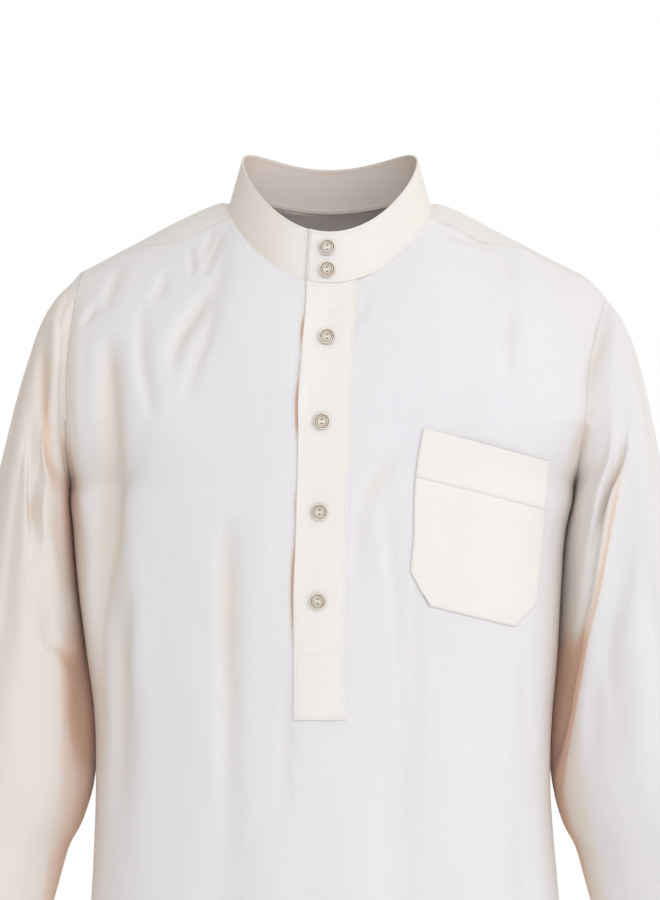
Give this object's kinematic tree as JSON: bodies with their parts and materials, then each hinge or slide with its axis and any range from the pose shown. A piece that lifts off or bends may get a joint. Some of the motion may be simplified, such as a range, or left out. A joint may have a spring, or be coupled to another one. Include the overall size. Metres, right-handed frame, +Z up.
{
  "type": "long robe with band collar (thobe)",
  "caption": "Ankle-length plain cream robe with a band collar, half-length button placket, set-in long sleeves and a chest pocket, hollow as when worn",
  "frame": {"origin": "the middle of the neck, level with the collar seam at its sides, where the neck and shoulders carry the robe", "axes": "+X to the wearer's left, +Y to the back, +Z up; the front with its buttons faces -Y"},
  "size_m": [0.732, 0.3262, 1.4503],
  "materials": {
    "cloth": "fine smooth cotton blend with a soft sheen",
    "trim_cloth": "the same cloth, doubled and stitched",
    "button_shell": "pearly, polished"
  },
  "bodies": {
    "root": {"front": "cloth", "back": "cloth", "sleeve_right": "cloth", "sleeve_left": "cloth", "collar": "trim_cloth", "placket": "trim_cloth", "placket_under": "trim_cloth", "pocket": "trim_cloth", "pocket_band": "trim_cloth", "button_1": "button_shell", "button_2": "button_shell", "button_3": "button_shell", "button_4": "button_shell", "button_5": "button_shell", "button_6": "button_shell"}
  },
  "joints": []
}
